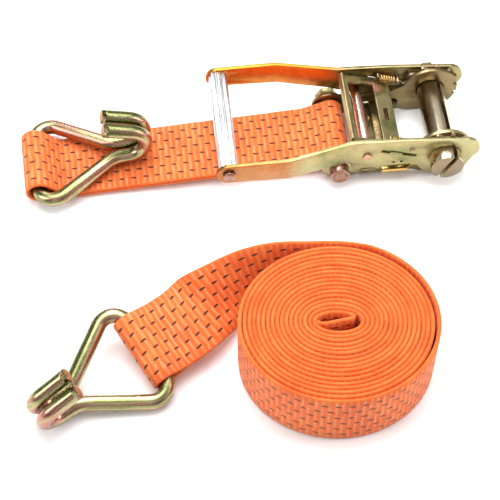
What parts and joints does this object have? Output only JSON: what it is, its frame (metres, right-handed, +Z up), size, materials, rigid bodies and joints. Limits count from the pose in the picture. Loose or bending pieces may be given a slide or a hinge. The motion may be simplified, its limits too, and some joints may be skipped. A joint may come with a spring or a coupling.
{
  "type": "ratchet tie down",
  "caption": "Ratchet tie down: a ratchet buckle with a short strap, and a rolled long strap of 50 mm webbing, each ending in a double J hook.",
  "frame": {"origin": "middle of the footprint of both pieces, on the plane they rest on", "axes": "+Z up; +X from the hooks towards the buckle's spindle and the roll; +Y towards the buckle"},
  "size_m": [0.3236, 0.2878, 0.0518],
  "materials": {
    "zinc": "yellow passivated zinc, satin",
    "steel": "bare turned steel",
    "gold_zinc": "golden passivated zinc",
    "alloy": "ribbed extrusion, satin",
    "webbing": "woven polyester"
  },
  "bodies": {
    "frame": {"frame_side_near": "zinc", "frame_side_far": "zinc", "anchor_washer_near": "zinc", "anchor_washer_far": "zinc", "frame_pawl_spring_near": "gold_zinc", "frame_pawl_spring_far": "gold_zinc", "frame_base_plate": "zinc", "anchor_bolt": "steel", "anchor_sleeve": "steel", "anchor_nut": "zinc"},
    "frame_pawl": {"frame_pawl": "gold_zinc"},
    "spindle": {"spindle_half_left": "steel", "spindle_half_right": "steel", "ratchet_wheel_near": "steel", "ratchet_wheel_far": "steel", "spindle_washer": "zinc", "spindle_split_pin": "steel"},
    "handle": {"handle_side_near": "zinc", "handle_side_far": "zinc", "handle_spring_pin_near": "steel", "handle_spring_pin_far": "steel", "handle_pawl_spring_near": "gold_zinc", "handle_pawl_spring_far": "gold_zinc", "handle_grip": "alloy", "grip_bolt": "steel", "grip_nut": "steel", "handle_tie_rod": "gold_zinc"},
    "handle_pawl": {"handle_pawl": "zinc"},
    "short_strap": {"short_strap": "webbing"},
    "short_hook": {"short_strap_hook": "zinc"},
    "long_strap": {"strap_roll": "webbing", "strap_lead": "webbing", "long_strap_eye": "webbing"},
    "long_hook": {"long_strap_hook": "zinc"}
  },
  "joints": [
    {"name": "handle_hinge", "type": "hinge", "parent": "frame", "child": "handle", "pos_m": [0.1343, 0.09957, 0.0213], "axis": [-0.1045, 0.9945, 0], "range_deg": [0, 175]},
    {"name": "spindle_spin", "type": "hinge", "parent": "frame", "child": "spindle", "pos_m": [0.1343, 0.09957, 0.0213], "axis": [-0.1045, 0.9945, 0], "continuous": true},
    {"name": "handle_pawl_slide", "type": "slide", "parent": "handle", "child": "handle_pawl", "axis": [0.9458, 0.0994, -0.309], "range_m": [-0.006, 0], "stiffness_N_per_m": 400, "springref_m": 0.004, "deforming": ["handle_pawl_spring_near", "handle_pawl_spring_far"]},
    {"name": "frame_pawl_slide", "type": "slide", "parent": "frame", "child": "frame_pawl", "axis": [0.9945, 0.1045, 0], "range_m": [-0.005, 0], "stiffness_N_per_m": 400, "springref_m": 0.004, "deforming": ["frame_pawl_spring_near", "frame_pawl_spring_far"]},
    {"name": "short_strap_swing", "type": "hinge", "parent": "frame", "child": "short_strap", "pos_m": [0.06121, 0.09189, 0.012], "axis": [-0.1045, 0.9945, 0], "range_deg": [-90, 8]},
    {"name": "short_hook_swing", "type": "hinge", "parent": "short_strap", "child": "short_hook", "pos_m": [-0.14824, 0.06606, 0.0097], "axis": [0.1564, -0.9877, 0], "range_deg": [0, 180]},
    {"name": "long_strap_lift", "type": "slide", "parent": "frame", "child": "long_strap", "axis": [0, 0, 1], "range_m": [0, 0.2]},
    {"name": "long_hook_swing", "type": "hinge", "parent": "long_strap", "child": "long_hook", "pos_m": [-0.0647, -0.08573, 0.0156], "axis": [-0.5694, 0.7861, 0.2404], "range_deg": [-60, 120]}
  ]
}
